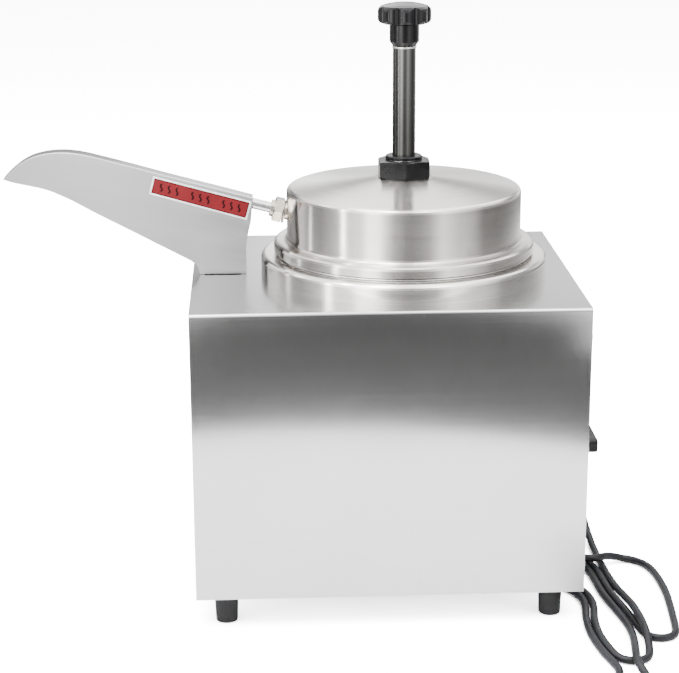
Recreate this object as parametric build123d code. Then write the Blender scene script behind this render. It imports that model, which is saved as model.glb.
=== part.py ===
from build123d import *
import math
import os

# Nacho cheese dispenser: a heated stainless cabinet, a lift-out pot and a
# piston pump in the lid with a heated, shrouded spout.
# Millimetres, +Z up, the spout points to -Y and the controls face +Y.
# Everything is drawn round the middle of the cabinet on the counter and then
# shifted along Y so that the origin is the bottom centre of the whole object.

# ---- driving dimensions ----------------------------------------------------
CAB_W = 250.0        # cabinet width, X
CAB_L = 290.0        # cabinet length, Y
FOOT_H = 25.0        # foot height
CAB_TOP = 245.0      # top of the cabinet
SHEET = 1.0          # cabinet sheet
AX_Y = 18.0          # pump, lid, pot and well axis
COLLAR_R = 110.0
COLLAR_TOP = 260.0
LID_R = 100.0        # lid flange
DOME_R = 90.0        # raised part of the lid
DOME_TOP = 310.5
POT_R = 94.0         # pot outer radius
POT_FLOOR = 99.0
WELL_R = 97.5
WELL_FLOOR = 87.0
BORE_R = 11.5        # pump cylinder bore
CYL_R = 13.0
SHAFT_R = 8.75       # plunger tube
NUT_AF = 38.0
KNOB_R = 20.15
TOTAL_H = 450.0
STROKE = 75.0
SPOUT_TILT = 14.7    # degrees above the horizontal, towards -Y
TUBE_R = 4.2         # spout tube
CORD_D = 6.0
TIP_Y = -285.6       # furthest point of the spout shroud
KNOB_Y = 172.0       # outer face of the thermostat knob
CTRL_Z = 102.5       # height of the controls
SHIFT_Y = -(TIP_Y + KNOB_Y) / 2

os.makedirs("parts", exist_ok=True)
HX, HY = CAB_W / 2, CAB_L / 2


def save(shape, name):
    if isinstance(shape, (list, tuple)):
        shape = Compound(children=list(shape))
    export_step(Pos(0, SHIFT_Y, 0) * shape, f"parts/{name}.step")


def box(x0, x1, y0, y1, z0, z1):
    return Pos((x0 + x1) / 2, (y0 + y1) / 2, (z0 + z1) / 2) * Box(x1 - x0, y1 - y0, z1 - z0)


def cyl(x, y, z0, z1, r, ri=0.0):
    s = Pos(x, y, (z0 + z1) / 2) * Cylinder(r, z1 - z0)
    if ri:
        s -= Pos(x, y, (z0 + z1) / 2) * Cylinder(ri, z1 - z0 + 2)
    return s


def cyl_y(x, z, y0, y1, r, ri=0.0):
    s = Pos(x, (y0 + y1) / 2, z) * Rot(90, 0, 0) * Cylinder(r, y1 - y0)
    if ri:
        s -= Pos(x, (y0 + y1) / 2, z) * Rot(90, 0, 0) * Cylinder(ri, y1 - y0 + 2)
    return s


def turned(points, y=AX_Y):
    """A body of revolution about the vertical axis at (0, y) from (r, z) points."""
    wire = Polyline(*[(r, 0, z) for r, z in points], close=True)
    return Pos(0, y, 0) * revolve(make_face(wire), Axis.Z)


def along(p, d, length, r, ri=0.0):
    """A round bar from p along d."""
    pl = Plane(origin=p, z_dir=d)
    s = pl * Pos(0, 0, length / 2) * Cylinder(r, length)
    if ri:
        s -= pl * Pos(0, 0, length / 2) * Cylinder(ri, length + 2)
    return s


def bends(points, share=0.42, most=1e9):
    """The arc at each corner, as large as its two runs allow."""
    v = [Vector(*p) for p in points]
    out = []
    for a, b, c in zip(v, v[1:], v[2:]):
        half_turn = math.radians((b - a).get_angle(c - b)) / 2
        out.append(min(most, share * min((b - a).length, (c - b).length) / math.tan(half_turn)))
    return out


def tube_path(points, radii, r, ri=0.0):
    path = FilletPolyline(*points, radius=radii)
    pl = Plane(origin=path @ 0, z_dir=path % 0)
    s = sweep(pl * Circle(r), path=path)
    if ri:
        s -= sweep(pl * Circle(ri), path=path)
    return s, path


def hexagon(af, z0, z1, x=0.0, y=0.0, bore=0.0):
    s = Pos(x, y, z0) * extrude(RegularPolygon(af / math.sqrt(3), 6), z1 - z0)
    c = af / math.sqrt(3)
    h = 0.29 * (c - af / 2) + 0.35
    cone = Pos(x, y, 0) * revolve(
        make_face(Polyline((0, 0, z0), (af / 2 * 0.98, 0, z0), (c + 0.1, 0, z0 + h), (c + 0.1, 0, z1 - h),
                           (af / 2 * 0.98, 0, z1), (0, 0, z1), close=True)), Axis.Z)
    s = s & cone
    if bore:
        s -= cyl(x, y, z0 - 1, z1 + 1, bore)
    return s


# ---- cabinet ----------------------------------------------------------------
# One sheet folded over the top and down both long sides.
outer = Pos(0, 0, (FOOT_H + CAB_TOP) / 2) * Box(CAB_W, CAB_L, CAB_TOP - FOOT_H)
outer = fillet(outer.edges().filter_by(Axis.Y).sort_by(Axis.Z)[-2:], 2.2)
inner = box(-HX + SHEET, HX - SHEET, -HY - 1, HY + 1, FOOT_H - 1, CAB_TOP - SHEET)
inner = fillet(inner.edges().filter_by(Axis.Y).sort_by(Axis.Z)[-2:], 1.2)
wrap = outer - inner
for s in (-1, 1):
    # bottom hem, turned in under the base plate
    a, b = sorted((s * (HX - 0.5), s * (HX - 31)))
    wrap += box(a, b, -HY, HY, FOOT_H, FOOT_H + SHEET)
    # lips of the top sheet, turned down over the end panels
    a, b = sorted((s * HY, s * (HY - SHEET)))
    wrap += box(-HX + 0.5, HX - 0.5, a, b, CAB_TOP - 8.5, CAB_TOP - 0.5)
    # return flanges behind the end panels
    a, b = sorted((s * (HY - 2.1), s * (HY - 3.1)))
    for q in (-1, 1):
        c, d = sorted((q * (HX - 0.5), q * (HX - 15)))
        wrap += box(c, d, a, b, FOOT_H + 2.6, CAB_TOP - 3)
wrap -= cyl(0, AX_Y, CAB_TOP - 5, CAB_TOP + 5, 100.0)
wrap -= box(-11, 11, -135.5, -107.5, CAB_TOP - 5, CAB_TOP + 5)
STUDS = [(103.5 * math.cos(math.radians(a)), AX_Y + 103.5 * math.sin(math.radians(a))) for a in (90, 210, 330)]
for x, y in STUDS:
    wrap -= cyl(x, y, CAB_TOP - 5, CAB_TOP + 5, 2.2)
FEET = [(x, y) for x in (-104.0, 104.0) for y in (-122.8, 122.8)]
for x, y in FEET:
    wrap -= cyl(x, y, FOOT_H - 5, FOOT_H + 5, 2.2)
SCREWS = [(x, z) for x in (-117.0, 117.0) for z in (44.0, 135.0, 222.0)]
for x, z in SCREWS:
    wrap -= cyl_y(x, z, 135, 143.5, 2.05)
save(wrap, "cabinet_wrap")

front = box(-HX + 1.1, HX - 1.1, -HY + 1.1, -HY + 2.1, FOOT_H + 1.2, CAB_TOP - 3.0)
save(front, "front_panel")

GLAND = (-103.0, 48.0)
SWITCH = (62.0, CTRL_Z)
LAMP = (-52.0, CTRL_Z)
rear = box(-HX + 1.1, HX - 1.1, HY - 2.1, HY - 1.1, FOOT_H + 1.2, CAB_TOP - 3.0)
for x, z in SCREWS:
    rear -= cyl_y(x, z, 140, 146, 2.15)
rear -= cyl_y(GLAND[0], GLAND[1], 140, 146, 6.2)
rear -= cyl_y(0, CTRL_Z, 140, 146, 5.2)
rear -= cyl_y(LAMP[0], LAMP[1], 140, 146, 5.2)
rear -= box(SWITCH[0] - 9.7, SWITCH[0] + 9.7, 140, 146, SWITCH[1] - 14.8, SWITCH[1] + 14.8)
for i in range(6):
    for x in (-45.0, 15.0, 75.0):
        rear -= Pos(x - 15, HY - 1.6, 205 - 9 * i) * Rot(90, 0, 0) * extrude(SlotOverall(42, 3.2), 3, both=True)
save(rear, "rear_panel")

base = box(-HX + 1.4, HX - 1.4, -HY + 3.4, HY - 3.4, FOOT_H + 1, FOOT_H + 2.2)
base += box(-HX + 1.4, HX - 1.4, -HY + 3.4, -HY + 4.6, FOOT_H + 1, FOOT_H + 14)
base += box(-HX + 1.4, HX - 1.4, HY - 4.6, HY - 3.4, FOOT_H + 1, FOOT_H + 14)
for x, y in FEET:
    base -= cyl(x, y, 20, 32, 2.2)
for i in range(5):
    for s in (-1, 1):
        base -= Pos(s * 48, -36 + 18 * i, 20) * extrude(SlotOverall(60, 4), 20)
base -= box(GLAND[0] - 12, GLAND[0] + 12, HY - 6, HY, FOOT_H + 12, FOOT_H + 20)
save(base, "base_plate")

feet, fscrews, fnuts = [], [], []
for x, y in FEET:
    f = turned([(0, 0.0), (7.9, 0.0), (8.3, 0.5), (9.2, 23.6), (9.2, 25.0), (0, 25.0)], 0)
    f = Pos(x, y, 0) * f
    f -= cyl(x, y, -1, 11, 5.2)
    f -= cyl(x, y, -1, 30, 2.25)
    feet.append(f)
    fscrews.append(cyl(x, y, 8, 11, 4.2) + cyl(x, y, 10, 34, 2.0) - Pos(x, y, 8) * Box(5.4, 1.0, 2.4))
    fnuts.append(hexagon(7.0, FOOT_H + 2.2, FOOT_H + 5.6, x, y, 2.06))
save(feet, "rubber_feet")
save(fscrews, "foot_screws")
save(fnuts, "foot_nuts")

pans = []
for x, z in SCREWS:
    head = Pos(x, HY - 1.1, z) * Rot(-90, 0, 0) * Pos(0, 0, 1.2) * Cylinder(3.9, 2.4)
    head = fillet(head.edges().filter_by(GeomType.CIRCLE).sort_by(Axis.Y)[-1:], 1.5)
    head -= box(x - 2.6, x + 2.6, HY + 0.3, HY + 3, z - 0.45, z + 0.45)
    head -= box(x - 0.45, x + 0.45, HY + 0.3, HY + 3, z - 2.6, z + 2.6)
    pans.append(head + cyl_y(x, z, HY - 9, HY - 1, 1.95))
save(pans, "rear_panel_screws")

# ---- collar, well and heater ------------------------------------------------
collar = turned([(110.0, 245.0), (110.0, 256.4), (109.6, 257.9), (108.6, 259.2), (107.2, 259.9), (106.0, 260.0),
                 (98.2, 260.0), (96.9, 259.6), (96.5, 258.6), (96.5, 246.25), (97.6, 246.25), (97.6, 258.7),
                 (98.2, 258.9), (105.9, 258.9), (107.4, 258.2), (108.6, 256.6), (108.9, 245.0)])
save(collar, "well_collar")
well = turned([(96.5, 246.2), (107.5, 246.2), (107.5, 245.0), (97.5, 245.0), (97.5, 91.0), (96.2, 88.2),
               (93.5, 87.0), (0, 87.0), (0, 88.0), (93.3, 88.0), (95.4, 88.9), (96.5, 91.2)])
for x, y in STUDS:
    well -= cyl(x, y, 240, 250, 2.2)
save(well, "heating_well")
studs = []
for x, y in STUDS:
    studs.append(cyl(x, y, 233, 258.85, 2.0))
    studs.append(hexagon(7.0, 240.7, 243.95, x, y, 2.06))
save(studs, "collar_studs_and_nuts")
save(turned([(98.2, 132), (108.5, 132), (108.5, 232), (98.2, 232)]), "insulation_blanket")
plate = turned([(0, 82.0), (88, 82.0), (88, 86.9), (0, 86.9)])
plate -= cyl(0, AX_Y, 80, 90, 17.0)
save(plate, "heater_plate")
clamp = turned([(0, 79.9), (78, 79.9), (78, 81.9), (0, 81.9)])
clamp -= cyl(0, AX_Y, 78, 90, 17.0)
clamp += box(-6, 6, -59.8, -58.6, 70, 80.5) + box(-6, 6, 94.6, 95.8, 70, 80.5)
save(clamp, "heater_clamp_plate")
cut = cyl(0, AX_Y, 78.5, 86.9, 8.0) + box(-3, 3, AX_Y - 14, AX_Y + 14, 76.5, 79)
save(cut, "thermal_cutout")

# ---- controls ---------------------------------------------------------------
tb = box(-17, 17, 121.5, HY - 2.15, CTRL_Z - 14, CTRL_Z + 14)
tb -= cyl_y(0, CTRL_Z, 130, 150, 3.06)
for x in (-12, 12):
    tb += box(x - 3, x + 3, 118.5, 121.5, CTRL_Z - 8, CTRL_Z + 8)
save(tb, "thermostat_body")
spindle = cyl_y(0, CTRL_Z, 131, 160, 3.0)
spindle -= box(-4, 4, 150, 161, CTRL_Z + 1.5, CTRL_Z + 4)
save(spindle, "thermostat_spindle")
knob = cyl_y(0, CTRL_Z, 147.6, 152.0, 20.0)
knob = fillet(knob.edges().filter_by(GeomType.CIRCLE).sort_by(Axis.Y)[-1:], 1.2)
hub = cyl_y(0, CTRL_Z, 151, 161, 16.0)
hub = chamfer(hub.edges().filter_by(GeomType.CIRCLE).sort_by(Axis.Y)[-1:], 2.0)
grip = Pos(0, (151 + KNOB_Y) / 2, CTRL_Z) * Box(40, KNOB_Y - 151, 11.4)
grip = fillet(grip.edges().filter_by(Axis.Y), 3.4)
grip = fillet(grip.edges().group_by(Axis.Y)[-1], 1.3)
knob = knob + hub + grip
knob -= cyl_y(0, CTRL_Z, 146, 160.2, 3.05)
save(knob, "thermostat_knob")
dial = cyl_y(0, CTRL_Z, HY - 1.1, HY - 0.3, 30.0, 5.6)
save(dial, "dial_plate")
CAPILLARY = [(10, 126, 116.6), (10, 126, 123), (30, 119.5, 126), (60, 104, 126), (82, 78, 126),
                      (92.5, 60, 122), (94.5, 56, 112)]
pipe, _ = tube_path(CAPILLARY, bends(CAPILLARY, most=20), 1.0)
save(pipe + cyl(94.5, 56, 84, 112.2, 2.8), "thermostat_capillary")
sw = box(SWITCH[0] - 9.5, SWITCH[0] + 9.5, 126, HY - 1.1, SWITCH[1] - 14.6, SWITCH[1] + 14.6)
sw += box(SWITCH[0] - 11.5, SWITCH[0] + 11.5, HY - 1.1, HY + 0.7, SWITCH[1] - 17.0, SWITCH[1] + 17.0)
sw -= box(SWITCH[0] - 7.7, SWITCH[0] + 7.7, 134.0, HY + 3, SWITCH[1] - 13.5, SWITCH[1] + 13.5)
sw -= Pos(SWITCH[0], HY - 3.5, SWITCH[1]) * Rot(0, 90, 0) * Cylinder(1.56, 18.0)
for s in (-1, 1):
    sw += box(SWITCH[0] + s * 5 - 0.4, SWITCH[0] + s * 5 + 0.4, 118, 126, SWITCH[1] - 3, SWITCH[1] + 3)
save(sw, "switch_housing")
rk = Polyline((0, HY - 7.0, SWITCH[1] - 3.5), (0, HY - 1.2, SWITCH[1] - 11.7), (0, HY + 0.5, SWITCH[1] - 11.5),
              (0, HY + 2.0, SWITCH[1]), (0, HY + 4.3, SWITCH[1] + 11.4), (0, HY + 2.4, SWITCH[1] + 11.9),
              (0, HY - 7.0, SWITCH[1] + 3.5), close=True)
rocker = Pos(SWITCH[0], 0, 0) * extrude(make_face(rk), 7.3, both=True, dir=(1, 0, 0))
rocker += Pos(SWITCH[0], HY - 3.5, SWITCH[1]) * Rot(0, 90, 0) * Cylinder(1.5, 17.4)
save(rocker, "rocker_button")
ROCK_PIVOT = (SWITCH[0], HY - 3.5, SWITCH[1])
lampb = cyl_y(LAMP[0], LAMP[1], 124, HY - 1.1, 5.0) + cyl_y(LAMP[0], LAMP[1], HY - 1.1, HY + 0.3, 6.8)
lampb -= cyl_y(LAMP[0], LAMP[1], HY - 6, HY + 1, 4.0)
save(lampb, "pilot_lamp_body")
lens = cyl_y(LAMP[0], LAMP[1], HY - 5.9, HY + 3.2, 3.95)
lens = fillet(lens.edges().filter_by(GeomType.CIRCLE).sort_by(Axis.Y)[-1:], 2.0)
save(lens, "pilot_lamp_lens")

term = box(-100, -64, 92, 112, FOOT_H + 2.2, FOOT_H + 20)
for i in range(3):
    term -= box(-97 + 12 * i, -91 + 12 * i, 97, 107, FOOT_H + 14, FOOT_H + 21)
    term += cyl(-94 + 12 * i, 102, FOOT_H + 13, FOOT_H + 17, 2.4)
save(term, "terminal_block")
save(cyl(-50, 116, FOOT_H + 2.2, FOOT_H + 17, 2.0) + hexagon(7, FOOT_H + 2.2, FOOT_H + 5.4, -50, 116)
     + cyl(-50, 116, FOOT_H + 5.4, FOOT_H + 6.4, 4.6), "earth_stud")

wires = []
for pts, r in (
    ([(-94, 91.8, 38), (-94, 84, 38), (-80, 70, 46), (-50, 50, 64), (-24, 30, 70), (-4.5, 26, 77)], 1.3),
    ([(-82, 112.3, 40), (-82, 117, 40), (-66, 120.5, 58), (-38, 121, 74), (-14, 117.4, 84), (-12, 117, 97)], 1.3),
    ([(-70, 91.8, 38), (-70, 84, 38), (-46, 88, 44), (0, 110, 52), (44, 118, 68), (57, 116.6, 84), (57, 116.5, 99)], 1.3),
    ([(-68, 112.3, 33), (-68, 117.5, 33), (-60, 124, 48), (-54, 127, 72), (-52, 121.6, 88), (-52, 122.8, 101)], 1.1),
):
    w, _ = tube_path(pts, bends(pts, most=25), r)
    wires.append(w)
save(wires, "internal_wiring")

# ---- mains cord -------------------------------------------------------------
gx, gz = GLAND
U0 = Vector(0.70, 0.55, -0.456).normalized()
B0 = Vector(gx, 149.0, gz)
gland = cyl_y(gx, gz, 137.5, 146.5, 6.0) + cyl_y(gx, gz, HY - 1.1, HY + 1.9, 9.0)
gland += cyl_y(gx, gz, 137.0, 141.8, 9.0)
boot = Plane(origin=B0, z_dir=U0) * revolve(
    make_face(Polyline((0, 0, -2), (5.9, 0, -2), (5.9, 0, 3), (4.0, 0, 24), (0, 0, 24), close=True)), Axis.Z)
gland += Pos(B0.X, B0.Y, B0.Z) * Sphere(6.0) + boot
save(gland, "cord_strain_relief")

# From the strain relief down to the counter; each arc is as large as its runs allow.
CORD = [(-86.2, 162.2, 37.1), (-80.6, 166.6, 33.5), (-72.6, 170.2, 28.6), (-62.5, 172.6, 22.7), (-50.3, 174.4, 15.9),
        (-36.7, 175.6, 9.7), (-22.4, 176.5, 5.1)]
CORD_R = bends(CORD, 0.45)
print("cord radii", [round(r, 1) for r in CORD_R])
cord, cpath = tube_path(CORD, CORD_R, CORD_D / 2)
print("cord volume", round(cord.volume, 1), "section x length", round(math.pi * CORD_D ** 2 / 4 * cpath.length, 1))
save(cord, "power_cord")

# The loose hank on the counter: the outline of all its strands, open in its two windows.
OUTLINE = [(-23.8, 152.0), (-4.0, 152.0), (-1.0, 149.0), (-0.5, 135.0), (4.5, 125.0), (10.0, 119.5), (14.5, 117.0),
           (22.0, 115.0), (31.5, 115.0), (39.5, 117.0), (49.0, 122.5), (63.0, 134.5), (75.5, 142.5), (90.0, 147.0),
           (103.5, 147.0), (130.0, 143.0), (154.5, 142.5), (184.5, 146.0), (209.5, 153.0), (215.0, 153.5), (235.5, 143.5),
           (249.0, 143.5), (253.0, 145.0), (258.0, 149.5), (261.5, 156.5), (261.5, 166.0), (258.0, 173.5), (253.0, 178.0),
           (248.0, 179.5), (240.0, 179.0), (224.5, 174.0), (207.5, 173.0), (205.5, 173.5), (200.5, 179.0), (192.5, 183.0),
           (176.5, 187.0), (165.5, 188.0), (162.0, 191.5), (163.0, 200.0), (161.0, 202.5), (154.5, 208.0), (143.5, 212.5),
           (124.0, 217.0), (97.0, 220.5), (82.0, 221.5), (48.5, 221.0), (26.0, 217.0), (17.0, 212.5), (13.5, 209.0),
           (11.0, 206.0), (10.0, 202.0), (11.0, 191.5), (15.0, 185.0), (12.0, 181.0), (-23.2, 180.2), (-23.2, 172.6),
           (10.0, 173.5), (13.0, 170.0), (2.5, 159.6), (-23.8, 159.8)]
WINDOWS = [
    [(14.5, 142.0), (16.0, 137.0), (20.0, 133.0), (26.5, 131.0), (33.0, 132.0), (41.0, 136.5), (59.0, 151.0),
     (72.5, 158.0), (77.0, 160.5), (74.5, 163.5), (40.0, 161.5), (26.5, 159.0), (17.0, 152.0)],
    [(18.0, 199.0), (21.0, 190.0), (27.0, 182.0), (59.5, 183.5), (108.0, 188.5), (139.5, 189.5), (150.0, 192.5),
     (155.0, 196.5), (152.5, 199.5), (145.5, 203.0), (127.0, 208.0), (79.5, 213.5), (59.0, 213.5), (36.0, 211.0),
     (23.0, 206.5), (19.0, 203.0)],
    [(99.5, 164.0), (102.0, 161.5), (125.0, 158.0), (156.5, 157.0), (184.5, 161.0), (188.0, 162.0), (190.0, 165.0),
     (187.5, 168.0), (181.5, 169.0), (143.5, 172.5), (102.0, 167.0)],
    [(219.5, 162.0), (228.0, 156.0), (240.0, 151.0), (249.0, 152.5), (252.0, 155.5), (253.5, 160.0), (252.0, 167.5),
     (247.5, 171.0), (242.5, 171.0), (223.5, 165.5)],
]
HANK_H = 14.0
hank_face = make_face(Polyline(*OUTLINE, close=True))
for window in WINDOWS:
    hank_face -= make_face(Polyline(*window, close=True))
save(extrude(hank_face, HANK_H), "power_cord_hank")

# Plug, on the counter behind the cabinet at the far end of the hank.
PLUG_Y, PLUG_Z = 156.0, 10.5


def bar_x(x0, x1, y, z, w, h, r):
    b = box(x0, x1, y - w / 2, y + w / 2, z - h / 2, z + h / 2)
    return fillet(b.edges().filter_by(Axis.X), r)


plug = bar_x(-82.0, -52.0, PLUG_Y, PLUG_Z, 23.4, 20.8, 6.0)
plug = fillet(plug.edges().group_by(Axis.X)[0], 1.5)
nose = loft([Plane(origin=(-52.0, PLUG_Y, PLUG_Z), z_dir=(1, 0, 0)) * RectangleRounded(20.8, 23.4, 5.9),
             Plane(origin=(-42.0, PLUG_Y, PLUG_Z), z_dir=(1, 0, 0)) * RectangleRounded(12.0, 12.0, 5.8)])
plug = plug + nose
relief = Plane(origin=(-42.0, PLUG_Y, PLUG_Z), z_dir=(1, 0, 0)) * revolve(
    make_face(Polyline((0, 0, -1), (5.6, 0, -1), (3.9, 0, 17.9), (0, 0, 17.9), close=True)), Axis.Z)
plug = plug + relief
save(plug, "power_plug")
pins = [box(-99.0, -82.1, PLUG_Y - 7.1, PLUG_Y - 5.6, PLUG_Z - 3.2, PLUG_Z + 3.2),
        box(-99.0, -82.1, PLUG_Y + 5.6, PLUG_Y + 7.1, PLUG_Z - 3.2, PLUG_Z + 3.2),
        Plane(origin=(-82.1, PLUG_Y, PLUG_Z + 6.3), z_dir=(-1, 0, 0)) * Pos(0, 0, 9.5) * Cylinder(2.4, 19.0)]
save(pins, "plug_pins")

# ---- pot --------------------------------------------------------------------
pot = turned([(94.0, 104.0), (92.6, 100.6), (89.5, 99.0), (0, 99.0), (0, 100.0), (89.3, 100.0), (91.8, 101.3),
              (93.0, 104.2), (93.0, 260.5), (94.2, 261.7), (97.2, 261.9), (98.1, 261.2), (98.3, 260.35),
              (97.2, 260.35), (97.0, 260.9), (95.0, 260.9), (94.0, 260.1)])
save(pot, "inner_pot")

# ---- lid --------------------------------------------------------------------
LID_Z = 262.4
lid = turned([(98.8, LID_Z), (LID_R, LID_Z), (LID_R, 267.6), (99.4, 269.2), (98.0, 270.1), (96.4, 270.4),
              (92.6, 270.6), (91.2, 271.0), (90.3, 272.0), (DOME_R, 273.4), (DOME_R, 307.4), (89.6, 308.9),
              (88.6, 310.0), (86.9, 310.6), (22.5, 318.2), (CYL_R + 0.3, 318.2), (CYL_R + 0.3, 317.0), (22.3, 317.0),
              (86.4, 309.5), (87.9, 308.8), (88.7, 307.4), (88.7, 273.2), (89.2, 271.4), (90.9, 269.9),
              (92.4, 269.4), (96.2, 269.2), (97.6, 268.8), (98.5, 267.6)])
skirt = turned([(91.2, 253.5), (92.4, 253.5), (92.4, 270.0), (91.3, 270.0)])
lid = lid + skirt
tilt = math.radians(SPOUT_TILT)
D_OUT = Vector(0, -math.cos(tilt), math.sin(tilt))          # along the spout, outwards
NUT_C = Vector(0, -77.0, 293.3)


def on_spout(y):
    return Vector(0, y, NUT_C.Z + math.tan(tilt) * (NUT_C.Y - y))


lid -= along(on_spout(-60.0), D_OUT, 20, 6.6)
save(lid, "pump_lid")

nut = hexagon(NUT_AF, 318.2, 331.8, 0, AX_Y, CYL_R + 0.05)
save(nut, "lid_lock_nut")
cylinder = turned([(BORE_R, 122.0), (CYL_R, 122.0), (CYL_R, 311.0), (19.0, 311.0), (19.0, 316.95), (CYL_R, 316.95),
                   (CYL_R, 332.2), (BORE_R, 332.2)])
save(cylinder, "pump_cylinder")
bush = turned([(SHAFT_R + 0.05, 300.0), (BORE_R - 0.05, 300.0), (BORE_R - 0.05, 332.25), (14.0, 332.25), (14.0, 334.2),
               (13.2, 334.9), (SHAFT_R + 0.05, 334.9)])
save(bush, "shaft_bush")

# Valve body: inlet below, outlet check at the foot of the riser.
RISER_Y = -14.0
vb = cyl(0, AX_Y, 104, 136, 17.5)
vb = chamfer(vb.edges().filter_by(GeomType.CIRCLE), 1.5)
vb += cyl(0, RISER_Y, 104, 140, 10.0) + box(-9, 9, RISER_Y, AX_Y, 104, 132)
vb -= cyl(0, AX_Y, 122, 140, CYL_R + 0.02)
vb -= cyl(0, AX_Y, 110, 123, 8.0)
vb -= cyl(0, AX_Y, 100, 112, 4.5)
vb -= Pos(0, AX_Y, 111.0) * Cone(4.5, 8.0, 2.0)
vb -= cyl(0, RISER_Y, 120, 136.5, 6.0)
vb -= cyl(0, RISER_Y, 126, 141, 5.02)
vb -= cyl(0, RISER_Y, 112, 121, 3.6)
vb -= cyl_y(0, 115.5, RISER_Y, AX_Y, 3.2)
save(vb, "valve_body")
save(Pos(0, AX_Y, 114.5) * Sphere(6.0), "inlet_ball")
save(Pos(0, RISER_Y, 123.0) * Sphere(4.6), "outlet_ball")
bend = on_spout(RISER_Y)
end = on_spout(-68.2)
riser, _ = tube_path([(0, RISER_Y, 129.5), (0, RISER_Y, bend.Z), (0, end.Y, end.Z)], [26.0], 5.0, 4.0)
save(riser, "riser_tube")
fit_in = along(on_spout(-68.25), D_OUT, 6.4, 6.5, 4.3) + along(on_spout(-63.4), D_OUT, 5.3, 8.2, 5.04)
save(fit_in, "discharge_fitting")
washer = along(on_spout(-73.0), D_OUT, 1.2, 9.6, 6.6)
washer -= Pos(0, AX_Y, 293) * Cylinder(DOME_R + 0.15, 60)
save(washer, "fitting_washer")
npl = Plane(origin=on_spout(-74.9), x_dir=(1, 0, 0), z_dir=D_OUT)
hexn = extrude(RegularPolygon(17.6 / math.sqrt(3), 6), 7.2)
hexn = hexn & (Pos(0, 0, 3.6) * revolve(make_face(Polyline((0, 0, -3.6), (8.7, 0, -3.6), (10.3, 0, -2.7), (10.3, 0, 2.7),
                                                      (8.7, 0, 3.6), (0, 0, 3.6), close=True)), Axis.Z))
hexn += Pos(0, 0, 8.4) * Cylinder(6.6, 2.6)
hexn -= Pos(0, 0, 5) * Cylinder(TUBE_R + 0.03, 20)
save(npl * hexn, "fitting_nut")

s0 = on_spout(-74.95)
s1 = on_spout(-239.0)
spout, spath = tube_path([(0, s0.Y, s0.Z), (0, s1.Y, s1.Z), (0, -247.5, 316.0)], [9.0], TUBE_R, TUBE_R - 0.8)
save(spout, "spout_tube")

# ---- plunger ----------------------------------------------------------------
PISTON_Z = 223.0
shaft = turned([(7.25, 237.0), (SHAFT_R, 237.0), (SHAFT_R, 416.2), (7.25, 416.2)])
save(shaft, "plunger_tube")
piston = turned([(0, PISTON_Z), (11.3, PISTON_Z), (11.4, PISTON_Z + 0.5), (11.4, 227.0), (9.4, 227.0), (9.4, 231.0),
                 (11.4, 231.0), (11.4, 235.5), (10.9, 236.9), (7.2, 236.9), (7.2, 246.0), (0, 246.0)])
save(piston, "piston")
save(turned([(9.45, 227.1), (11.46, 227.1), (11.46, 230.9), (9.45, 230.9)]), "piston_seal")
end_plug = cyl(0, AX_Y, 402.0, 416.15, 7.2, 4.0)
save(end_plug, "shaft_end_plug")
save(turned([(4.1, 416.2), (9.1, 416.2), (9.25, 416.4), (9.25, 417.2), (9.1, 417.4), (4.1, 417.4)]), "knob_washer")
save(cyl(0, AX_Y, 403.0, 438.0, 3.95), "knob_stud")

hubk = turned([(0, 417.5), (8.6, 417.5), (11.2, 421.0), (11.2, 436.0), (0, 436.0)])
N_LOBES = 8
lobes = []
pts = []
for i in range(N_LOBES * 12):
    t = 2 * math.pi * i / (N_LOBES * 12)
    w = 0.5 + 0.5 * math.cos(N_LOBES * t)
    pts.append(((KNOB_R - 2.7 * (1 - w ** 0.45)) * math.cos(t), (KNOB_R - 2.7 * (1 - w ** 0.45)) * math.sin(t)))
star = Pos(0, AX_Y, 434.0) * extrude(make_face(Spline(*pts, periodic=True)), 16.0)
dome = turned([(0, 433.9), (15.5, 434.0), (18.9, 435.2), (20.3, 437.4), (20.3, 443.6), (19.4, 445.9), (17.6, 447.4),
               (14.0, 448.5), (9.0, 449.5), (4.0, 449.95), (0, TOTAL_H)])
star = (star & dome) + hubk
star -= cyl(0, AX_Y, 410, 438.2, 4.0)
save(star, "star_knob")

coil_r, wire_r, turns = 9.6, 0.85, 9
z0, z1 = 123.2, PISTON_Z - 1.1
helix = Helix(pitch=(z1 - z0) / turns, height=z1 - z0, radius=coil_r)
hpl = Plane(origin=helix @ 0, z_dir=helix % 0)
spring = Pos(0, AX_Y, z0) * sweep(hpl * Circle(wire_r), path=helix, is_frenet=True)
save(spring, "return_spring")

# ---- spout shroud -----------------------------------------------------------
TOP = [(-97.5, 304.4), (-107.4, 307.2), (-137.5, 315.4), (-175.0, 325.8), (-189.9, 330.1), (-212.2, 336.2),
       (-227.0, 339.8), (-241.9, 341.3), (-257.0, 339.7), (-264.5, 337.4), (-272.2, 333.2), (-280.1, 326.9),
       (TIP_Y, 321.4)]
UNDER = [(-280.5, 319.2), (-273.1, 317.4), (-265.6, 315.7), (-258.2, 314.1), (-250.8, 311.7), (-243.4, 308.5),
         (-236.1, 304.9), (-221.3, 296.6), (-199.1, 284.6), (-176.7, 272.5), (-161.7, 264.4), (-146.7, 256.3)]
REAR = [(-103.6, 245.3), (-103.6, 263.9), (-102.7, 271.8), (-101.1, 278.8), (-99.4, 286.0)]
SH_W = 15.0


def plate_at(x0, x1):
    top = Spline(*[(x0, y, z) for y, z in TOP])
    under = Spline(*[(x0, y, z) for y, z in [TOP[-1]] + UNDER])
    foot = Polyline(*[(x0, y, z) for y, z in [UNDER[-1], (-142.2, 253.2), (-140.7, 251.0), (-139.3, 245.3)] + REAR + [TOP[0]]])
    return extrude(make_face([top, under, foot]), abs(x1 - x0), dir=(1 if x1 > x0 else -1, 0, 0))


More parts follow.
